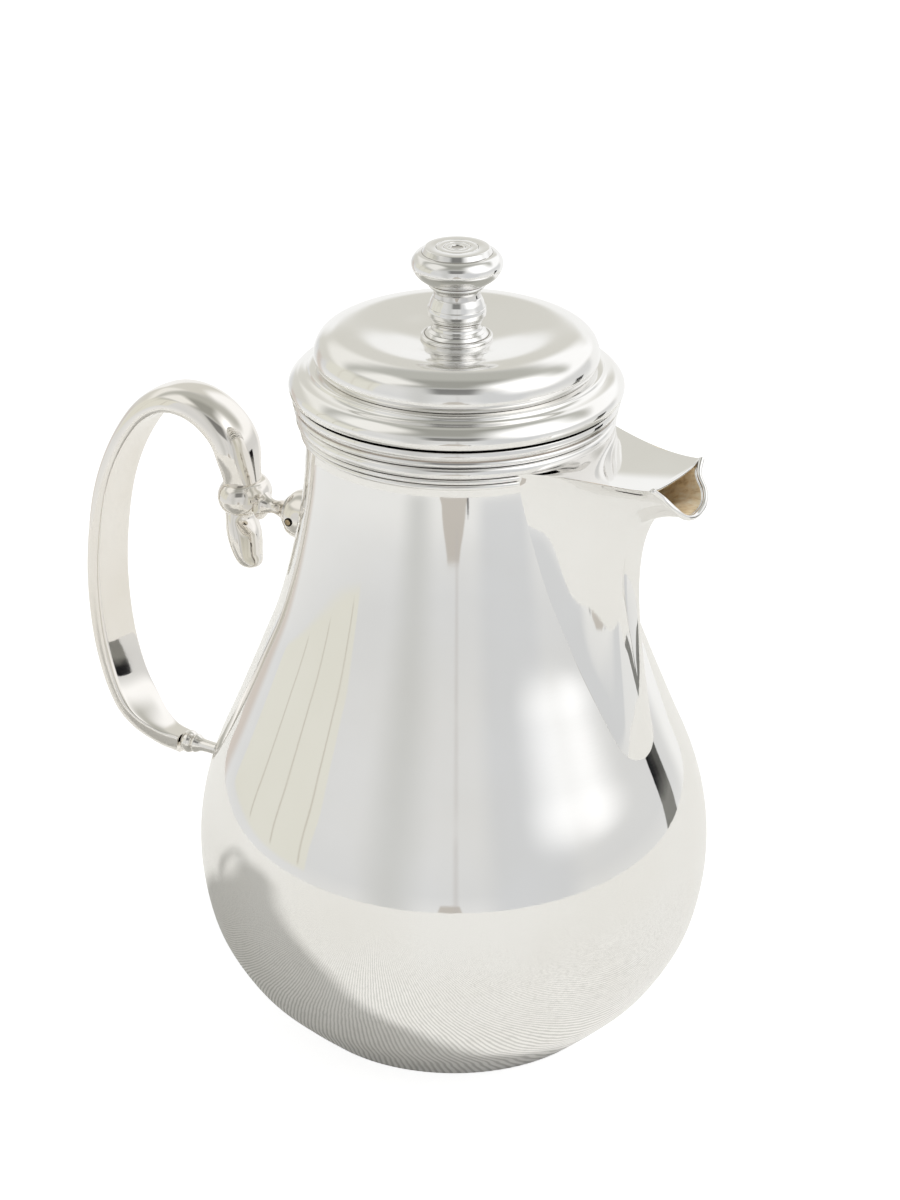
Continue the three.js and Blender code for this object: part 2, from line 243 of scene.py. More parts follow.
def add_node(tree, kind, inputs=None, **settings):
    """Node whose inputs are given as plain values or as sockets to link."""
    node = tree.nodes.new(kind)
    for key, value in settings.items():
        setattr(node, key, value)
    for key, value in (inputs or {}).items():
        if isinstance(value, bpy.types.NodeSocket):
            tree.links.new(value, node.inputs[key])
        else:
            node.inputs[key].default_value = value
    return node


def colour_ramp(tree, factor, stops):
    node = add_node(tree, "ShaderNodeValToRGB", {"Fac": factor})
    ramp = node.color_ramp
    while len(ramp.elements) < len(stops):
        ramp.elements.new(0.5)
    for element, (place, colour) in zip(ramp.elements, stops):
        element.position = place
        element.color = (*colour, 1)
    return node.outputs["Color"]


def remap(tree, value, low, high, to_low, to_high):
    node = add_node(tree, "ShaderNodeMapRange", {
        "Value": value, "From Min": low, "From Max": high, "To Min": to_low, "To Max": to_high,
    })
    return node.outputs["Result"]


def noise(tree, vector, scale, detail=4.0, roughness=0.55):
    node = add_node(tree, "ShaderNodeTexNoise", {
        "Vector": vector, "Scale": scale, "Detail": detail, "Roughness": roughness,
    })
    return node.outputs["Fac"]


def stretched(tree, scale):
    """Place on the object, in metres, stretched by a scale on each axis."""
    coordinates = add_node(tree, "ShaderNodeTexCoord").outputs["Object"]
    node = add_node(tree, "ShaderNodeMapping", {"Vector": coordinates, "Scale": scale})
    return node.outputs["Vector"]


def silver(
    name, bright, tarnish_and_groove_shade, gloss=(0.025, 0.075), polish=(1, 1, 1), wear=0.35, groove_depth=0.08,
):
    """Polished silver: cloudy tarnish, a darker colour in the grooves, and a fine polishing grain. The groove
    colour is patina, and painted shade where it is near black.
    """
    material, tree, shader = new_material(name)
    plain = stretched(tree, (1, 1, 1))
    cloud = noise(tree, plain, 28, 3)
    film = noise(tree, plain, 75, 5, 0.6)
    marks = noise(tree, stretched(tree, tuple(900 * p for p in polish)), 1, 2, 0.5)
    # Hollows, found from the pointiness, take the dark colour: patina, and painted shade where that colour is
    # near black.
    surface_pointiness = add_node(tree, "ShaderNodeNewGeometry").outputs["Pointiness"]
    groove_patina_and_shade = remap(tree, surface_pointiness, 0.5 - groove_depth, 0.498, 1, 0)
    cloudy = remap(tree, cloud, 0.35, 0.75, 0, wear)
    tarnish_and_shade_amount = add_node(tree, "ShaderNodeMath", {0: cloudy, 1: groove_patina_and_shade}, operation="MAXIMUM", use_clamp=True)
    colour = colour_ramp(tree, tarnish_and_shade_amount.outputs[0], [(0, bright), (1, tarnish_and_groove_shade)])
    tree.links.new(colour, shader.inputs["Base Color"])
    shader.inputs["Metallic"].default_value = 1
    smear = add_node(tree, "ShaderNodeMath", {0: film, 1: cloud}, operation="MULTIPLY")
    rough = remap(tree, smear.outputs[0], 0.1, 0.5, *gloss)
    tree.links.new(rough, shader.inputs["Roughness"])
    ripple = add_node(tree, "ShaderNodeBump", {"Height": film, "Strength": 0.02, "Distance": 0.0004})
    grain = add_node(tree, "ShaderNodeBump", {
        "Height": marks, "Strength": 0.03, "Distance": 0.00005, "Normal": ripple.outputs["Normal"],
    })
    tree.links.new(grain.outputs["Normal"], shader.inputs["Normal"])
    return material


def stained_lining(name):
    """Unpolished inside of the spout: coffee-stained, brushed lengthways."""
    material, tree, shader = new_material(name)
    streaks = noise(tree, stretched(tree, (500, 1600, 60)), 1, 4, 0.6)
    patches = noise(tree, stretched(tree, (1, 1, 1)), 160, 4)
    mixed = add_node(tree, "ShaderNodeMath", {0: streaks, 1: patches}, operation="MULTIPLY")
    colour = colour_ramp(tree, mixed.outputs[0], [
        (0.12, (0.6, 0.44, 0.25)), (0.24, (0.88, 0.73, 0.5)), (0.42, (0.97, 0.9, 0.74)),
    ])
    tree.links.new(colour, shader.inputs["Base Color"])
    shader.inputs["Metallic"].default_value = 0.35
    tree.links.new(remap(tree, streaks, 0.3, 0.7, 0.4, 0.6), shader.inputs["Roughness"])
    bump = add_node(tree, "ShaderNodeBump", {"Height": streaks, "Strength": 0.3, "Distance": 0.0001})
    tree.links.new(bump.outputs["Normal"], shader.inputs["Normal"])
    return material


def pin_metal(name, centre, radius):
    """Brass-coloured pin head with a black line of dirt round it."""
    material, tree, shader = new_material(name)
    coordinates = add_node(tree, "ShaderNodeTexCoord").outputs["Object"]
    moved = add_node(tree, "ShaderNodeVectorMath", {0: coordinates, 1: centre}, operation="SUBTRACT")
    flat = add_node(tree, "ShaderNodeVectorMath", {0: moved.outputs[0], 1: (1, 0, 1)}, operation="MULTIPLY")
    reach = add_node(tree, "ShaderNodeVectorMath", {0: flat.outputs[0]}, operation="LENGTH").outputs["Value"]
    dirt = noise(tree, coordinates, 900, 4)
    wavering = remap(tree, dirt, 0.2, 0.8, -0.1, 0.1)
    share = add_node(tree, "ShaderNodeMath", {0: reach, 1: 1 / radius, 2: wavering}, operation="MULTIPLY_ADD")
    colour = colour_ramp(tree, share.outputs[0], [
        (0.25, (0.42, 0.33, 0.21)), (0.62, (0.5, 0.4, 0.25)),
        (0.74, (0.02, 0.015, 0.01)), (1, (0.01, 0.008, 0.006)),
    ])
    tree.links.new(colour, shader.inputs["Base Color"])
    shader.inputs["Metallic"].default_value = 0.9
    tree.links.new(remap(tree, dirt, 0.3, 0.7, 0.25, 0.5), shader.inputs["Roughness"])
    bump = add_node(tree, "ShaderNodeBump", {"Height": dirt, "Strength": 0.25, "Distance": 0.0001})
    tree.links.new(bump.outputs["Normal"], shader.inputs["Normal"])
    return material


def small_metal(name, bright, dark, gloss):
    """Turned fixing metal with tool marks and dirt."""
    material, tree, shader = new_material(name)
    dirt = noise(tree, stretched(tree, (1, 1, 1)), 420, 5)
    rings = noise(tree, stretched(tree, (300, 300, 6000)), 1, 2)
    colour = colour_ramp(tree, dirt, [(0.3, dark), (0.65, bright)])
    tree.links.new(colour, shader.inputs["Base Color"])
    shader.inputs["Metallic"].default_value = 1
    tree.links.new(remap(tree, dirt, 0.3, 0.7, gloss[1], gloss[0]), shader.inputs["Roughness"])
    bump = add_node(tree, "ShaderNodeBump", {"Height": rings, "Strength": 0.2, "Distance": 0.0001})
    tree.links.new(bump.outputs["Normal"], shader.inputs["Normal"])
    return material


SILVER_BRIGHT = (0.905, 0.9, 0.89)
SILVER_TARNISH = (0.8, 0.78, 0.735)

body_metal = silver("body_polish", SILVER_BRIGHT, SILVER_TARNISH, polish=(0.3, 0.3, 3))
# Near-black dark colour: painted shade in the grooves between the collar's wires and rings, over a light
# cloudy tarnish.
collar_metal = silver(
    "collar_polish", SILVER_BRIGHT, (0.2, 0.15, 0.1), polish=(0.3, 0.3, 3), wear=0.15, groove_depth=0.03,
)
spout_metal = silver("spout_polish", SILVER_BRIGHT, SILVER_TARNISH, polish=(3, 3, 0.4))
lid_metal = silver("lid_polish", SILVER_BRIGHT, (0.78, 0.755, 0.7), polish=(1, 1, 3))
dome_metal = silver("lid_dome_polish", SILVER_BRIGHT, SILVER_TARNISH, (0.08, 0.14), (1, 1, 3))
# Near-black dark colour: painted shade in the grooves of the flange and knob, over a light cloudy tarnish.
finial_metal = silver(
    "finial_polish", SILVER_BRIGHT, (0.1, 0.075, 0.045), polish=(0.3, 0.3, 4), wear=0.12, groove_depth=0.03,
)
handle_metal = silver("handle_polish", (0.905, 0.885, 0.855), (0.7, 0.64, 0.55), polish=(3, 1, 1), wear=0.4)
inside_metal = stained_lining("spout_lining")
fixing_finish = small_metal("fixing_brass", (0.76, 0.6, 0.3), (0.36, 0.25, 0.1), (0.22, 0.5))


def give(piece, body, slot, nodes, *finishes):
    """Gives a piece its finishes and its body, and hides the CAD nodes it stands for; the record slot is not
    used.
    """
    for finish in finishes:
        piece.data.materials.append(finish)
    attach(piece, body)
    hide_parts(*nodes)
    return piece


# ---------------------------------------------------------------- body
WALL = 1.2
FOOT_RADIUS = 41
PLATE_SEAT = 37.3  # inner radius of the foot, round the base plate
NECK_RADIUS = 39
CURVE_TOP = 170  # the neck is straight above this height
HOLE_RADIUS = 1.6
HOLE_SPACING = 6
HOLE_ROWS = ((152, 3), (144, 4), (136, 3), (128, 2))  # height of each row and how many holes it has
# Outer outline of the body, as radius and height.
BODY_OUTLINE = [
    (FOOT_RADIUS, 0), (48.9, 7), (56.6, 15), (63.65, 27), (67, 39), (68.1, 51), (67.1, 63), (64, 75),
    (58.2, 89), (51.6, 105.3), (46.4, 119), (42.4, 135), (39.7, 151), (38.85, 163), (NECK_RADIUS, CURVE_TOP),
]
body_line = spline(BODY_OUTLINE, 8)


def body_radius(height):
    """Outer radius of the body at a height."""
    for low, high in zip(body_line, body_line[1:]):
        if high.y >= height:
            share = (height - low.y) / (high.y - low.y)
            return low.x + (high.x - low.x) * max(share, 0)
    return body_line[-1].x


def inset(line, distance):
    """Line moved to its left by a wall thickness."""
    moved = []
    for i, point in enumerate(line):
        along = (line[min(i + 1, len(line) - 1)] - line[max(i - 1, 0)]).normalized()
        moved.append(Vector((point.x - distance * along.y, point.y + distance * along.x)))
    return moved


def strainer_holes():
    """Plugs for the strainer holes through the neck, behind the spout."""
    plug = [(0, 0), (HOLE_RADIUS, 0), (HOLE_RADIUS, 16), (0, 16)]
    bm = bmesh.new()
    for height, count in HOLE_ROWS:
        for i in range(count):
            side = (i - (count - 1) / 2) * HOLE_SPACING
            start = Matrix.Translation((body_radius(height) - 9, side, height))
            turn(bm, plug, 20, place=start @ Matrix.Rotation(math.pi / 2, 4, "Y"), closed=False)
    return finish_mesh(bm, "strainer_plugs")


def pot_body():
    """Hollow shell, open at the foot and the mouth, with the strainer holes cut through its neck."""
    neck_top = span("body_shell")[1].z
    inner = [p for p in inset(body_line, WALL) if p.y > 2.4]
    foot = rounded([(PLATE_SEAT, 0), (FOOT_RADIUS, 0), tuple(body_line[1])], 1.2, closed=False)
    brim = rounded([
        tuple(body_line[-1]), (NECK_RADIUS, neck_top), (NECK_RADIUS - WALL, neck_top), tuple(inner[-1]),
    ], 0.4, closed=False)
    outline = foot[:-1] + body_line[1:] + brim[1:-1] + list(reversed(inner)) + [Vector((PLATE_SEAT, WALL))]
    shell = turned("pot_body", outline, 240)
    plugs = strainer_holes()
    cutter = shell.modifiers.new("holes", "BOOLEAN")
    cutter.operation = "DIFFERENCE"
    cutter.solver = "EXACT"
    cutter.object = plugs
    graph = bpy.context.evaluated_depsgraph_get()
    drilled = bpy.data.meshes.new_from_object(shell.evaluated_get(graph))
    shell.modifiers.clear()
    shell.data = drilled
    drilled.set_sharp_from_angle(angle=math.radians(35))
    bpy.data.objects.remove(plugs)
    drilled.materials.clear()
    return give(shell, "pot", "body_silver", ["body_shell"], body_metal)


def base_plate():
    """Closed plate in the foot, with a shallow recess inside its standing rim."""
    _, high = span("base_plate")
    edge = high.x
    rim = rounded([
        (edge - 5, 0.25), (edge - 4, 0), (edge - 0.2, 0), (edge, 0.2), (edge, high.z),
    ], 0.2, closed=False)
    plate = turned("pot_base", rim + [Vector((0, high.z)), Vector((0, 0.25))], 160)
    return give(plate, "pot", "body_silver", ["base_plate"], body_metal)


# ---------------------------------------------------------------- collar
COLLAR_BORE = 39.05
SPOUT_GAP = 35  # degrees to each side of the spout's middle line


def wire_outline(node, radius, bulge):
    """Half-round wire of the given outer radius, as high as its CAD node."""
    low, high = span(node)
    middle_height = (low.z + high.z) / 2
    points = []
    for step in range(13):
        angle = math.pi * (step / 12 - 0.5)
        points.append(Vector((
            radius - bulge + bulge * math.cos(angle),
            middle_height + (high.z - low.z) / 2 * math.sin(angle),
        )))
    return [Vector((COLLAR_BORE, low.z))] + points + [Vector((COLLAR_BORE, high.z))]


def collar():
    """Two wires that stop at the spout, and two full rings over it."""
    for node, radius, bulge in (("collar_foot_wire", 40.1, 0.6), ("collar_bead_wire", 40.5, 0.65)):
        outline = wire_outline(node, radius, bulge)
        wire = turned(node + "_fine", outline, start=SPOUT_GAP, stop=360 - SPOUT_GAP)
        give(wire, "pot", "collar_silver", [node], collar_metal)
    widest = span("collar_lower_ring")[1].x
    ring = turned("collar_lower_ring_fine", wire_outline("collar_lower_ring", widest, 1.1))
    give(ring, "pot", "collar_silver", ["collar_lower_ring"], collar_metal)
    low, high = span("collar_mouth_ring")
    side = spline([
        (40.9, low.z), (41.75, low.z + 0.9), (41.45, low.z + 1.9), (42.25, low.z + 3.1),
        (42.2, high.z - 0.35),
    ], 6)
    brim = rounded([(42.2, high.z - 0.35), (42.1, high.z), (COLLAR_BORE, high.z)], 0.3, closed=False)
    mouth = turned("collar_mouth_ring_fine", [Vector((COLLAR_BORE, low.z))] + side + brim[1:])
    give(mouth, "pot", "collar_silver", ["collar_mouth_ring"], collar_metal)


# ---------------------------------------------------------------- spout
# Root of the spout on the body: half width and height, from the rounded tip up to the collar.
SPOUT_ROOT = [
    (0, 88.8), (4.3, 89.9), (7.6, 93.6), (10.2, 104), (13.4, 120.5), (16.7, 136), (19.2, 153),
    (20.9, 164), (21.3, CURVE_TOP),
]
# Half of the mouth's rim, from its lowest point to the flared upper corner.
MOUTH_RIM = [
    (69.8, 0, 159.4), (69.6, 4.8, 160.7), (68.2, 7.6, 163.3), (65.5, 9.4, 166.5), (64.3, 12.9, 169.5),
]
SPOUT_WALL = 1
SIDE_STEPS = 44
TOP_STEPS = 40
FLOW_STEPS = 72
SPOUT_DISH = 1.0  # depth of the hollow along the top plate
RIM_LINE = [(x, -y, z) for x, y, z in reversed(MOUTH_RIM[1:])] + MOUTH_RIM
RIM_RISE = Vector(MOUTH_RIM[-1]) - Vector(MOUTH_RIM[0])
MOUTH_NORMAL = Vector((RIM_RISE.z, 0, -RIM_RISE.x)).normalized()


def spout_point(share, along):
    """Point of the beak: share runs from keel to top edge, along runs from body to mouth."""
    half_width, height = spline_at(SPOUT_ROOT, share)
    start = Vector((math.sqrt(body_radius(height) ** 2 - half_width**2), half_width, height))
    end = spline_at(RIM_LINE, 0.5 + 0.5 * share)
    narrowing = 1 - (1 - share) ** 4
    leave = Vector((-11 + 45 * share**1.7, -18 * narrowing, 125 * (1 - share)))
    arrive = Vector((98 - 68 * share**0.8, -3 * narrowing, 4))
    a = along
    return (
        start * (2 * a**3 - 3 * a**2 + 1) + leave * (a**3 - 2 * a**2 + a)
        + end * (3 * a**2 - 2 * a**3) + arrive * (a**3 - a**2)
    )


def spout_ring(along):
    """Right edge, keel, left edge, then back over the top plate."""
    left = [spout_point(step / SIDE_STEPS, along) for step in range(SIDE_STEPS + 1)]
    right = [Vector((p.x, -p.y, p.z)) for p in reversed(left[1:])]
    edge = left[-1]
    plate = []
    for step in range(1, TOP_STEPS):
        across = 1 - 2 * step / TOP_STEPS
        crown = 1 - across**2
        neck_bulge = (1 - along) * (body_radius(CURVE_TOP) - edge.x) * crown
        dip = SPOUT_DISH * (along * crown + 0.8 * math.sin(math.pi * along) * crown)
        plate.append(Vector((edge.x + neck_bulge, edge.y * across, edge.z - dip)))
    return right + left + plate


def ring_normals(ring, ahead, behind):
    """Outward direction at each point of a ring, from its neighbours."""
    count = len(ring)
    normals = []
    for i in range(count):
        around = ring[(i + 1) % count] - ring[i - 1]
        normals.append(around.cross(ahead[i] - behind[i]).normalized())
    return normals


def eased_normals(normals, rounds=2):
    count = len(normals)
    for _ in range(rounds):
        sums = [normals[i - 1] + normals[i] * 2 + normals[(i + 1) % count] for i in range(count)]
        normals = [total.normalized() for total in sums]
    return normals


def fillet_root(ring, normals, reach=2.2, size=1.3):
    """Spreads the skin where it meets the body, so that the joint is a small hollow curve."""
    spread = []
    for point, normal in zip(ring, normals):
        height = math.hypot(point.x, point.y) - body_radius(min(point.z, CURVE_TOP))
        radial = Vector((point.x, point.y, 0)).normalized()
        sideways = normal - radial * normal.dot(radial)
        amount = size * max(0, 1 - height / reach) ** 2 if point.z < CURVE_TOP - 2 else 0
        spread.append(point + sideways * amount)
    return spread


def wall_at(ring, point):
    """Wall thickness at a point of a ring: full, but fine near the two sharp top edges."""
    from_edge = min((point - ring[0]).length, (point - ring[2 * SIDE_STEPS]).length)
    return SPOUT_WALL * (0.08 + 0.92 * smoothstep(from_edge, 0, 5))


def spout():
    """Hollow beak with a rounded rim at its mouth and a stained lining."""
    places = [(step / FLOW_STEPS) ** 1.25 for step in range(FLOW_STEPS + 1)]
    rings = [spout_ring(a) for a in places]
    outer, inner = [], []
    for i, ring in enumerate(rings):
        ahead = rings[min(i + 1, FLOW_STEPS)]
        behind = rings[max(i - 1, 0)]
        normals = eased_normals(ring_normals(ring, ahead, behind))
        outer.append(fillet_root(ring, normals))
        inner.append([p - n * wall_at(ring, p) for p, n in zip(ring, normals)])
    sunk = [p - Vector((p.x, p.y, 0)).normalized() * 0.4 for p in outer[0]]
    outer.insert(0, sunk)
    rims = []
    for step in range(1, 8):
        angle = math.pi * step / 8
        lift = 0.5 * SPOUT_WALL * math.sin(angle)
        share = 0.5 - 0.5 * math.cos(angle)
        rims.append([o.lerp(n, share) + MOUTH_NORMAL * lift for o, n in zip(outer[-1], inner[-1])])
    bm = bmesh.new()
    shell = skin(bm, outer + rims)
    lining = skin(bm, inner, slot=1)
    bridge(bm, shell[-1], lining[-1])
    bridge(bm, shell[0], lining[0])
    piece = finish_mesh(bm, "spout_beak", 48)
    give(piece, "pot", "spout_silver", ["spout_shell"], spout_metal, inside_metal)


def sweep(name, centres, radius, sides=20, sharp=40):
    """Round wire along a line of points, with domed ends."""
    rings = []
    last = len(centres) - 1
    for i, centre in enumerate(centres):
        tangent = (centres[min(i + 1, last)] - centres[max(i - 1, 0)]).normalized()
        side = tangent.cross(MOUTH_NORMAL).normalized()
        up = side.cross(tangent)
        size = radius * min(1, 0.45 + 0.55 * min(i, last - i) / 2)
        ring = []
        for k in range(sides):
            angle = 2 * math.pi * k / sides
            ring.append(centre + side * (size * math.cos(angle)) + up * (size * math.sin(angle)))
        rings.append(ring)
    bm = bmesh.new()
    skin(bm, rings, cap_start=True, cap_end=True)
    return finish_mesh(bm, name, sharp)


def lip_wire():
    """Thin wire soldered round the mouth of the beak."""
    radius = 0.75
    centres = [spline_at(RIM_LINE, i / 120) + MOUTH_NORMAL * (radius + 0.05) for i in range(121)]
    wire = sweep("spout_lip_wire_fine", centres, radius)
    give(wire, "pot", "spout_silver", ["spout_lip_wire"], spout_metal)


# ---------------------------------------------------------------- lid and finial
RIM_TOP = 185.8  # top of the rim moulding, where the dome sits
LEDGE_RADIUS = 33.4
STUD_BORE = 2.3  # radius of the hole for the finial's stud


def lid():
    """Rim moulding, domed top and the bezel that drops into the mouth."""
    low, high = span("lid_rim_moulding")
    side = spline([
        (41.4, low.z), (42.75, low.z + 0.85), (43.15, 180.6), (42.7, 182.1), (41.1, 183.8), (39.6, 184.35),
    ], 8)
    step = spline([(38.6, 184.55), (38.05, 184.95), (37.7, high.z - 0.2), (37, high.z)], 5)
    bore = 37.6
    outline = [Vector((bore, low.z))] + side + step + [
        Vector((LEDGE_RADIUS, high.z)), Vector((LEDGE_RADIUS, high.z - WALL)), Vector((bore, high.z - WALL)),
    ]
    moulding = turned("lid_rim_fine", outline, sharp=40)
    give(moulding, "lid", "lid_silver", ["lid_rim_moulding"], lid_metal)

    skirt = [
        (35.2, RIM_TOP + 0.1), (36.3, 187.2), (36.7, 189), (36.3, 191), (35.2, 192.9), (33.2, 194.4),
        (30, 195.5), (25, 195.7), (18, 194.7), (10, 193.3), (STUD_BORE, 193),
    ]
    outside = spline(skirt, 8)
    under = [p for p in inset(outside, WALL) if p.y > RIM_TOP + 0.6 or p.x < 30]
    outline = outside + list(reversed(under)) + [Vector((33.6, RIM_TOP + 0.1))]
    dome = turned("lid_dome_fine", outline, sharp=50)
    give(dome, "lid", "lid_silver", ["lid_dome"], dome_metal)

    low, high = span("lid_bezel")
    outer = high.x
    points = [(outer - WALL, low.z), (outer, low.z), (outer, high.z), (outer - WALL, high.z)]
    bezel = turned("lid_bezel_fine", rounded(points, 0.35))
    give(bezel, "lid", "lid_silver", ["lid_bezel"], lid_metal)


def finial():
    """Flange and turned knob: foot, ring, cap and a disc with fine rings cut into it."""
    low, high = span("finial_flange")
    z = low.z
    flange = rounded([
        (STUD_BORE, z - 0.25), (9.2, z - 0.1), (9.3, z + 0.6), (8.7, z + 0.95), (8.2, z + 0.8),
        (7.9, z + 1.25), (7.4, high.z + 0.25), (STUD_BORE, high.z + 0.25),
    ], 0.24, 4)
    piece = turned("finial_flange_fine", flange, 144, sharp=50)
    give(piece, "lid", "finial_silver", ["finial_flange"], finial_metal)

    low, high = span("finial_knob")
    base, top = low.z, high.z
    foot = rounded([
        (7.45, base), (6.5, base + 0.55), (6.15, base + 1.4), (6.3, base + 2.3), (6.65, base + 2.45),
        (7.25, base + 3.7), (7.35, base + 4.1), (7.55, base + 4.3), (7.6, base + 5.4), (7.45, base + 6.3),
        (7.25, base + 6.45), (6.9, base + 7.7), (6.3, base + 9), (6.1, base + 9.2), (6, base + 10.4),
    ], 0.28, 4, closed=False)
    ring = rounded([
        (6, base + 10.4), (6.1, base + 11.2), (6.75, base + 11.8), (7.35, base + 12), (7.45, base + 12.5),
        (7.2, base + 12.8), (7.7, base + 13),
    ], 0.22, 4, closed=False)[1:]
    cap = spline([
        (7.7, base + 13), (9.2, base + 13.85), (10.6, base + 15.1), (11.5, base + 16.6), (11.75, base + 17.9),
        (11.4, base + 19.2), (10.3, base + 20.5), (9, top - 1.35),
    ], 8)[1:]
    disc = rounded([
        (9, top - 1.35), (8.9, top - 1.25), (8.3, top - 0.12), (8.05, top), (5.5, top), (5.4, top - 0.18),
        (5.3, top), (3.6, top), (3.5, top - 0.2), (3.4, top - 0.06), (2.25, top - 0.06), (2.15, top - 0.25),
        (2.05, top - 0.06), (1.6, top - 0.06), (1.45, top - 0.35), (0, top - 0.3),
    ], 0.09, 3, closed=False)[1:]
    stud_hole = [Vector((0, 206.3)), Vector((STUD_BORE, 206.3)), Vector((STUD_BORE, base))]
    knob = turned("finial_knob_fine", foot + ring + cap + disc + stud_hole, 144, sharp=50)
    give(knob, "lid", "finial_silver", ["finial_knob"], finial_metal)


# ---------------------------------------------------------------- handle
# Centreline of the strap as x and z, from the lower knuckle up and over to the bead.
STRAP_LINE = [
    (-89.6, 54), (-96.2, 55.2), (-103.2, 59.4), (-109, 67.6), (-113.1, 80), (-115, 95), (-114.7, 110),
    (-112, 127), (-106.7, 141), (-99, 152.5), (-90.6, 158.2), (-82, 158.9), (-74.2, 155.6), (-68.6, 149),
    (-66.6, 137.4),
]
STRAP_WIDTH = 15
STRAP_THICKNESS = 5.9
# Section of the strap in shares of its half width and thickness: flat inside, rounded outside.
STRAP_SECTION = [
    (-0.9, -0.5), (0.9, -0.5), (1, -0.38), (1, -0.1), (0.9, 0.2), (0.6, 0.44), (0.2, 0.51), (-0.2, 0.51),
    (-0.6, 0.44), (-0.9, 0.2), (-1, -0.1), (-1, -0.38),
]


def even_line(points, count):
    """Points spaced evenly by length along the curve."""
    fine = spline(points, 24)
    lengths = [0]
    for a, b in zip(fine, fine[1:]):
        lengths.append(lengths[-1] + (b - a).length)
    spaced = []
    j = 0
    for i in range(count + 1):
        target = lengths[-1] * i / count
        while j < len(lengths) - 2 and lengths[j + 1] < target:
            j += 1
        share = (target - lengths[j]) / (lengths[j + 1] - lengths[j])
        spaced.append(fine[j].lerp(fine[j + 1], share))
    return spaced


def strap():
    """Flat C-scroll with a rounded outside, swelling towards the bead."""
    steps = 200
    line = even_line(STRAP_LINE, steps)
    section = eased_ring(STRAP_SECTION, 3)
    rings = []
    for i, place in enumerate(line):
        along = i / steps
        tangent = (line[min(i + 1, steps)] - line[max(i - 1, 0)]).normalized()
        outward = Vector((-tangent.y, 0, tangent.x))
        start = smoothstep(along, 0, 0.13)
        swell = smoothstep(along, 0.6, 0.97)
        narrowing = 1 - 0.3 * smoothstep(along, 0.93, 1)
        half_width = STRAP_WIDTH * (0.22 + 0.28 * start + 0.02 * swell) * narrowing
        thickness = STRAP_THICKNESS * (1 + 0.25 * swell)
        centre = Vector((place.x, 0, place.y))
        ring = []
        for across, out in section:
            ring.append(centre + outward * (out * thickness) + Vector((0, across * half_width, 0)))
        rings.append(ring)
    bm = bmesh.new()
    skin(bm, rings, cap_start=True, cap_end=True)
    piece = finish_mesh(bm, "handle_strap_fine", 50)
    give(piece, "pot", "handle_silver", ["handle_strap"], handle_metal)


def bead():
    """Oval bead between the strap and its bud."""
    low, high = span("handle_bead")
    centre = middle("handle_bead")
    half = (high - low) / 2
    rise = half.z + 0.8
    profile = spline([(0, -rise), (0.6, -rise), (0.82, -0.82 * rise), (0.95, -0.42 * rise), (1, 0.02)], 6)
    profile += spline([(1, 0.02), (0.96, 0.42 * rise), (0.84, 0.8 * rise), (0.66, rise), (0, rise)], 6)[1:]
    bm = bmesh.new()
    turn(bm, profile, 128, closed=False)
    for vert in bm.verts:
        vert.co = Vector((vert.co.x * half.x, vert.co.y * half.y, vert.co.z)) + centre
    piece = finish_mesh(bm, "handle_bead_fine", 60)
    give(piece, "pot", "handle_silver", ["handle_bead"], handle_metal)


def scroll_tip():
    """Bud under the bead: two soft lobes on each side and a flat inner face."""
    low, high = span("handle_scroll_tip")
    centre = middle("handle_scroll_tip")
    half = (high - low) / 2
    tall = high.z - low.z
    widths = [
        (0, 0), (0.32, 0.012), (0.62, 0.07), (0.84, 0.2), (0.98, 0.4), (1, 0.6),
        (0.9, 0.82), (0.82, 0.94), (0.86, 1.008),
    ]
    rings = []
    sides = 96
    for radius, share in spline(widths, 8)[1:]:
        lobes = smoothstep(share, 0.0, 0.25) * (1 - smoothstep(share, 0.8, 1))
        lean = 1.2 - 3.4 * share
        ring = []
        for k in range(sides):
            angle = 2 * math.pi * k / sides
            crease = 0.05 * lobes * math.exp(-((angle - math.pi) / 0.16) ** 2)
            swell = 1 + 0.055 * lobes * math.cos(4 * angle) - crease
            face = 0.3 + 0.35 * smoothstep(share, 0.55, 0.95)
            x = radius * half.x * swell * (1 - face * max(math.cos(angle), 0) ** 0.5 * lobes)
            ring.append(Vector((
                centre.x + lean + x * math.cos(angle),
                radius * half.y * swell * math.sin(angle),
                low.z + share * tall,
            )))
        rings.append(ring)
    bm = bmesh.new()
    skin(bm, rings, cap_start=True, cap_end=True)
    piece = finish_mesh(bm, "handle_scroll_tip_fine", 50)
    give(piece, "pot", "handle_silver", ["handle_scroll_tip"], handle_metal)


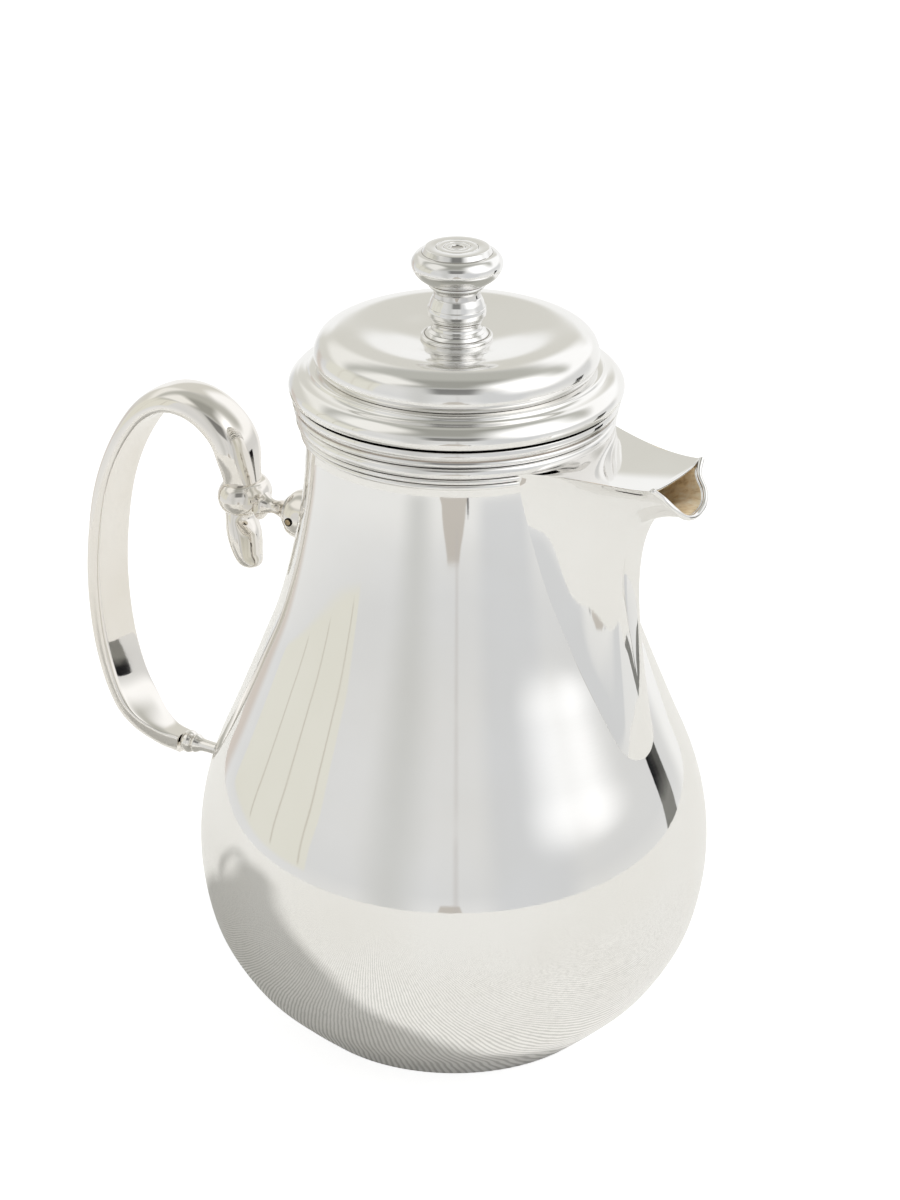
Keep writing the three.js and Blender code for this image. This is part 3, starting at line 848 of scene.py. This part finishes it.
def upper_joint():
    """Socket on the neck, a waisted stem to the bead, and the cross pin."""
    height = middle("upper_cross_pin").z
    nose = -51.2
    socket = spline([
        (4.2, nose + 0.15), (5.1, nose), (6.25, nose + 0.9), (6.8, nose + 2.9), (6.85, nose + 6),
    ], 7)
    root = spline([(6.85, nose + 6), (6.95, -41), (7.7, -39.4), (9.4, -38.4)], 7)
    outline = [Vector((0, nose + 8)), Vector((4.2, nose + 8))] + socket + root[1:] + [Vector((0, -38.2))]
    piece = turned("upper_socket_fine", outline, SMALL_SIDES, along_x(height), 45)
    give(piece, "pot", "handle_silver", ["upper_socket"], handle_metal)

    stem = spline([
        (4.4, -61.2), (3.1, -60.3), (2.15, -58.8), (1.85, -57.4), (2.1, -55.8), (2.9, -54),
        (4.1, -52.6), (4.75, -51.9),
    ], 6)
    tongue = [Vector((4.6, -51.5)), Vector((3.9, -51.3)), Vector((3.9, -44.2)), Vector((0, -44.2))]
    outline = [Vector((0, -61.2))] + stem + tongue
    piece = turned("handle_upper_stem_fine", outline, SMALL_SIDES, along_x(height), 45)
    give(piece, "pot", "handle_silver", ["handle_upper_stem"], handle_metal)

    low, high = span("upper_cross_pin")
    centre = middle("upper_cross_pin")
    radius = (high.x - low.x) / 2 + 0.15
    pin_finish = pin_metal("pin_polish", centre * MM, radius * MM)
    reach = (high.y - low.y) / 2
    head = rounded([
        (0, 0.12), (radius * 0.45, 0), (radius * 0.5, 0.16), (radius, 0.05), (radius, -1),
    ], 0.12, 3, closed=False)
    outline = [Vector((r, reach + h)) for r, h in head]
    outline = outline + [Vector((r, -h)) for r, h in reversed(outline)]
    place = Matrix.Translation(centre) @ Matrix.Rotation(math.pi / 2, 4, "X")
    bm = bmesh.new()
    turn(bm, outline, 40, place=place, closed=False)
    piece = finish_mesh(bm, "upper_cross_pin_fine", 30)
    give(piece, "pot", "pin_metal", ["upper_cross_pin"], pin_finish)


def lower_joint():
    """Knuckle at the strap's end, a thin stem and the flared boss on the belly."""
    height = middle("handle_lower_knuckle").z
    low, high = span("handle_lower_knuckle")
    x0, x1 = low.x, high.x
    big = (high.z - low.z) / 2
    knuckle = spline([
        (1.9, x0 - 0.35), (2.5, x0 - 0.05), (big * 0.97, x0 + 0.8), (big, (x0 + x1) / 2),
        (big * 0.97, x1 - 0.8), (2.5, x1 + 0.05), (1.9, x1 + 0.3),
    ], 6)
    outline = [Vector((0, x0 - 0.35))] + knuckle + [Vector((0, x1 + 0.3))]
    piece = turned("handle_lower_knuckle_fine", outline, 64, along_x(height), 50)
    give(piece, "pot", "handle_silver", ["handle_lower_knuckle"], handle_metal)

    low, high = span("handle_lower_stem")
    stem = spline([
        (2.4, low.x - 0.1), (2.65, low.x + 0.7), (2.2, low.x + 1.7), (1.8, low.x + 3.2), (1.7, high.x),
    ], 6)
    outline = [Vector((0, low.x - 0.1))] + stem + [Vector((0, high.x))]
    piece = turned("handle_lower_stem_fine", outline, 64, along_x(height), 45)
    give(piece, "pot", "handle_silver", ["handle_lower_stem"], handle_metal)

    low, _ = span("lower_boss")
    flare = spline([
        (1.75, low.x - 0.1), (2.0, low.x + 1.2), (2.6, low.x + 3), (3.9, low.x + 5.2),
        (6, low.x + 7.5), (8.2, low.x + 9.6),
    ], 6)
    outline = [Vector((0, low.x - 0.1))] + flare + [Vector((8.2, low.x + 12)), Vector((0, low.x + 12))]
    piece = turned("lower_boss_fine", outline, 64, along_x(height), 45)
    give(piece, "pot", "handle_silver", ["lower_boss"], handle_metal)


# ---------------------------------------------------------------- carried-over CAD nodes
def keep_cad(name, finish):
    """Keeps a CAD node as it is, with a finish of its own."""
    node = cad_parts[name]
    node.data.materials.clear()
    node.data.materials.append(finish)


# ---------------------------------------------------------------- stage
# Metres and degrees.
FLOOR_RADIUS = 6
TABLE_RADIUS = 0.43
SUN_AZIMUTH = 38
SUN_ELEVATION = 38
STAND_SIZE = (0.02, 0.08, 0.13)
STAND_DISTANCE = 0.46
STAND_AZIMUTH = 51


def stage_disc(name, radius, height, material, camera_only):
    """Round floor seen by the camera alone, or round table top seen by the polish and soft light."""
    bm = bmesh.new()
    bmesh.ops.create_circle(bm, cap_ends=True, segments=96, radius=radius)
    mesh = bpy.data.meshes.new(name)
    bm.to_mesh(mesh)
    bm.free()
    disc = bpy.data.objects.new(name, mesh)
    bpy.context.scene.collection.objects.link(disc)
    disc.location.z = height
    mesh.materials.append(material)
    disc.visible_camera = camera_only
    disc.visible_glossy = not camera_only
    disc.visible_diffuse = not camera_only
    disc.visible_shadow = False


def floor_material():
    """White floor that glows a little, so that it stays pale under the soft light."""
    material, tree, shader = new_material("floor_white")
    soft = noise(tree, stretched(tree, (1, 1, 1)), 3, 2)
    colour = colour_ramp(tree, soft, [(0, (0.26, 0.26, 0.26)), (1, (0.3, 0.3, 0.3))])
    tree.links.new(colour, shader.inputs["Base Color"])
    shader.inputs["Roughness"].default_value = 1
    shader.inputs["Emission Color"].default_value = (1, 1, 1, 1)
    shader.inputs["Emission Strength"].default_value = 0.86
    return material


def cloth_material():
    """Woven white cloth on the table."""
    material, tree, shader = new_material("table_cloth")
    warp = add_node(tree, "ShaderNodeTexWave", {
        "Vector": stretched(tree, (1, 1, 1)), "Scale": 190, "Distortion": 1.5, "Detail": 1,
    }).outputs["Fac"]
    slub = noise(tree, stretched(tree, (1, 1, 1)), 240, 4)
    thread = add_node(tree, "ShaderNodeMath", {0: warp, 1: slub}, operation="MULTIPLY")
    colour = colour_ramp(tree, thread.outputs[0], [(0.05, (0.57, 0.565, 0.55)), (0.35, (0.83, 0.825, 0.812))])
    tree.links.new(colour, shader.inputs["Base Color"])
    shader.inputs["Roughness"].default_value = 1
    return material


def add_sun():
    """Soft light from a window at the right, behind the pot."""
    data = bpy.data.lights.new("window_light", "SUN")
    data.energy = 2.6
    data.angle = math.radians(9)
    data.color = (1, 0.995, 0.985)
    lamp = bpy.data.objects.new("window_light", data)
    bpy.context.scene.collection.objects.link(lamp)
    lamp.rotation_mode = "QUATERNION"
    lamp.rotation_quaternion = direction_of(SUN_AZIMUTH, SUN_ELEVATION).to_track_quat("Z", "Y")
    lamp.visible_glossy = False


def dark_card():
    """Dark stand beside the table, seen only in the polish."""
    material, tree, shader = new_material("stand_black")
    place = stretched(tree, (1, 1, 1))
    height = add_node(tree, "ShaderNodeSeparateXYZ", {"Vector": place}).outputs["Z"]
    wander = remap(tree, noise(tree, place, 30, 2), 0, 1, -0.01, 0.01)
    uneven = add_node(tree, "ShaderNodeMath", {0: height, 1: wander})
    colour = colour_ramp(tree, remap(tree, uneven.outputs[0], -0.015, 0.04, 0, 1), [
        (0.2, (0.3, 0.3, 0.29)), (0.8, (0.006, 0.006, 0.009)),
    ])
    tree.links.new(colour, shader.inputs["Base Color"])
    shader.inputs["Roughness"].default_value = 1
    bm = bmesh.new()
    bmesh.ops.create_cube(bm, size=1)
    bmesh.ops.scale(bm, vec=STAND_SIZE, verts=bm.verts)
    mesh = bpy.data.meshes.new("dark_stand")
    bm.to_mesh(mesh)
    bm.free()
    mesh.materials.append(material)
    stand = bpy.data.objects.new("dark_stand", mesh)
    bpy.context.scene.collection.objects.link(stand)
    turn_angle = math.radians(STAND_AZIMUTH)
    stand.location = (STAND_DISTANCE * math.cos(turn_angle), STAND_DISTANCE * math.sin(turn_angle), 0.05)
    stand.rotation_euler = (0, 0, turn_angle)
    stand.visible_camera = False
    stand.visible_diffuse = False
    stand.visible_shadow = False


# Soft boards round the room, as the polished metal sees them: direction of the middle, half width
# and half height in degrees, softness of the sides and of the ends, how much the half width grows
# for each degree downwards, colour, and how much it covers.
BOARDS = {
    "panelled_door": (-154, 12, 29, 19, 1, 2, 0, (0.8, 0.79, 0.71), 1),
    "door_line_1": (-163, 12, 0.4, 17, 0.6, 2, 0, (0.5, 0.45, 0.38), 0.6),
    "door_line_2": (-147, 12, 0.4, 17, 0.6, 2, 0, (0.5, 0.45, 0.38), 0.6),
    "door_line_3": (-130, 12, 0.4, 17, 0.6, 2, 0, (0.5, 0.45, 0.38), 0.6),
    "brown_curtain": (-198, 5, 6, 32, 8, 10, 0, (0.6, 0.5, 0.42), 0.6),
    "left_shade": (-86, 20, 10, 44, 20, 12, 0, (0.64, 0.645, 0.63), 0.85),
    "right_shade": (-22, 4, 19, 26, 14, 10, 0, (0.69, 0.7, 0.71), 0.9),
    "back_wall": (124, 27, 52, 25, 14, 10, 0, (0.72, 0.71, 0.66), 1),
    "right_wall": (108, -6, 34, 24, 12, 8, 0, (0.98, 0.98, 0.97), 1),
    "white_wall": (52, 34, 44, 24, 16, 12, 0, (1.1, 1.1, 1.1), 1),
    "left_wall": (168, 38, 22, 16, 14, 12, 0, (0.95, 0.94, 0.9), 0.9),
    "ceiling_back": (122, 76, 60, 22, 24, 18, 0, (0.5, 0.5, 0.46), 0.9),
    "ceiling_front": (-60, 74, 60, 20, 40, 20, 0, (0.36, 0.36, 0.33), 0.95),
    "bright_window": (8, 39, 22, 25, 26, 26, 0, (1.45, 1.45, 1.45), 1),
    "left_window": (-138, 50, 18, 17, 18, 14, 0, (1.02, 1.01, 0.97), 0.9),
    "tripod_legs": (-59.5, -15.5, 7.2, 8.5, 1.2, 1.5, 0.36, (0.52, 0.475, 0.42), 0.8),
    "tripod_column": (-57, 2, 1, 17, 2, 6, 0, (0.55, 0.52, 0.5), 0.4),
    "tripod_foot": (-49, -20.5, 0.7, 2.5, 0.6, 2, 0, (0.05, 0.04, 0.04), 0.8),
    "dark_figure": (-60, 37, 17, 13, 14, 6, 0, (0.03, 0.03, 0.025), 0.7),
}


def board_mask(tree, direction, board):
    """Nodes that give 1 inside a board and 0 outside it, for a direction."""
    azimuth, elevation, half_width, half_height, soft_side, soft_end, taper, _, cover = board
    a, e = math.radians(azimuth), math.radians(elevation)
    ahead = direction_of(azimuth, elevation)
    side = (-math.sin(a), math.cos(a), 0)
    up = (-math.cos(a) * math.sin(e), -math.sin(a) * math.sin(e), math.cos(e))

    def maths(operation, *values):
        inputs = dict(enumerate(values))
        return add_node(tree, "ShaderNodeMath", inputs, operation=operation).outputs[0]

    def along(axis):
        node = add_node(tree, "ShaderNodeVectorMath", {0: direction, 1: axis}, operation="DOT_PRODUCT")
        return node.outputs["Value"]

    def edge(value, half, soft):
        node = add_node(tree, "ShaderNodeMapRange", {
            "Value": value,
            "From Min": math.radians(half + soft / 2),
            "From Max": math.radians(half - soft / 2),
            "To Min": 0.0,
            "To Max": 1.0,
        }, interpolation_type="SMOOTHSTEP")
        return node.outputs["Result"]

    sideways = maths("ABSOLUTE", maths("ARCTAN2", along(side), along(ahead)))
    upwards = maths("ARCTAN2", along(up), along(ahead))
    if taper:
        sideways = maths("ADD", sideways, maths("MULTIPLY", upwards, taper))
    across = edge(sideways, half_width, soft_side)
    upright = edge(maths("ABSOLUTE", upwards), half_height, soft_end)
    return maths("MULTIPLY", maths("MULTIPLY", across, upright), cover)


def studio_world():
    """Pale room: soft from below to above, with the boards laid over it in order."""
    world = bpy.data.worlds.new("studio")
    bpy.context.scene.world = world
    world.use_nodes = True
    tree = world.node_tree
    tree.nodes.clear()
    direction = add_node(tree, "ShaderNodeTexCoord").outputs["Generated"]
    height = add_node(tree, "ShaderNodeSeparateXYZ", {"Vector": direction}).outputs["Z"]
    colour = colour_ramp(tree, remap(tree, height, -0.5, 1, 0, 1), [
        (0.12, (0.88, 0.88, 0.865)), (0.3, (0.745, 0.75, 0.75)),
        (0.6, (0.78, 0.78, 0.77)), (1, (0.6, 0.6, 0.58)),
    ])
    for board in BOARDS.values():
        mask = board_mask(tree, direction, board)
        mix = add_node(tree, "ShaderNodeMix", {0: mask, 6: colour, 7: (*board[7], 1)}, data_type="RGBA")
        colour = mix.outputs[2]
    background = add_node(tree, "ShaderNodeBackground", {"Color": colour, "Strength": 1.0})
    output = add_node(tree, "ShaderNodeOutputWorld")
    tree.links.new(background.outputs["Background"], output.inputs["Surface"])


def add_camera():
    """Long lens, looking down at the spout side with a slight lean."""
    data = bpy.data.cameras.new("camera")
    data.lens = 117.15
    data.sensor_width = 36
    data.dof.use_dof = False
    camera = bpy.data.objects.new("camera", data)
    bpy.context.scene.collection.objects.link(camera)
    aim = Vector((-0.00116, -0.00073, 0.11949))
    distance = 1.02581
    roll = math.radians(0.3)
    back = direction_of(-57.92, 24.27)
    right = Vector((0, 0, 1)).cross(back).normalized()
    up = back.cross(right)
    leaned_right = right * math.cos(roll) + up * math.sin(roll)
    leaned_up = up * math.cos(roll) - right * math.sin(roll)
    turned_axes = Matrix((leaned_right, leaned_up, back)).transposed().to_4x4()
    camera.matrix_world = Matrix.Translation(aim + back * distance) @ turned_axes
    bpy.context.scene.camera = camera


# ---------------------------------------------------------------- build
add_camera()
pot_body()
base_plate()
collar()
spout()
lip_wire()
lid()
finial()
strap()
bead()
scroll_tip()
upper_joint()
lower_joint()
for fixing in ("finial_stud", "finial_washer", "finial_nut"):
    keep_cad(fixing, fixing_finish)

studio_world()
add_sun()
dark_card()
stage_disc("floor", FLOOR_RADIUS, -0.0001, floor_material(), True)
stage_disc("table_top", TABLE_RADIUS, -0.0002, cloth_material(), False)
bpy.context.scene.view_settings.view_transform = "Standard"
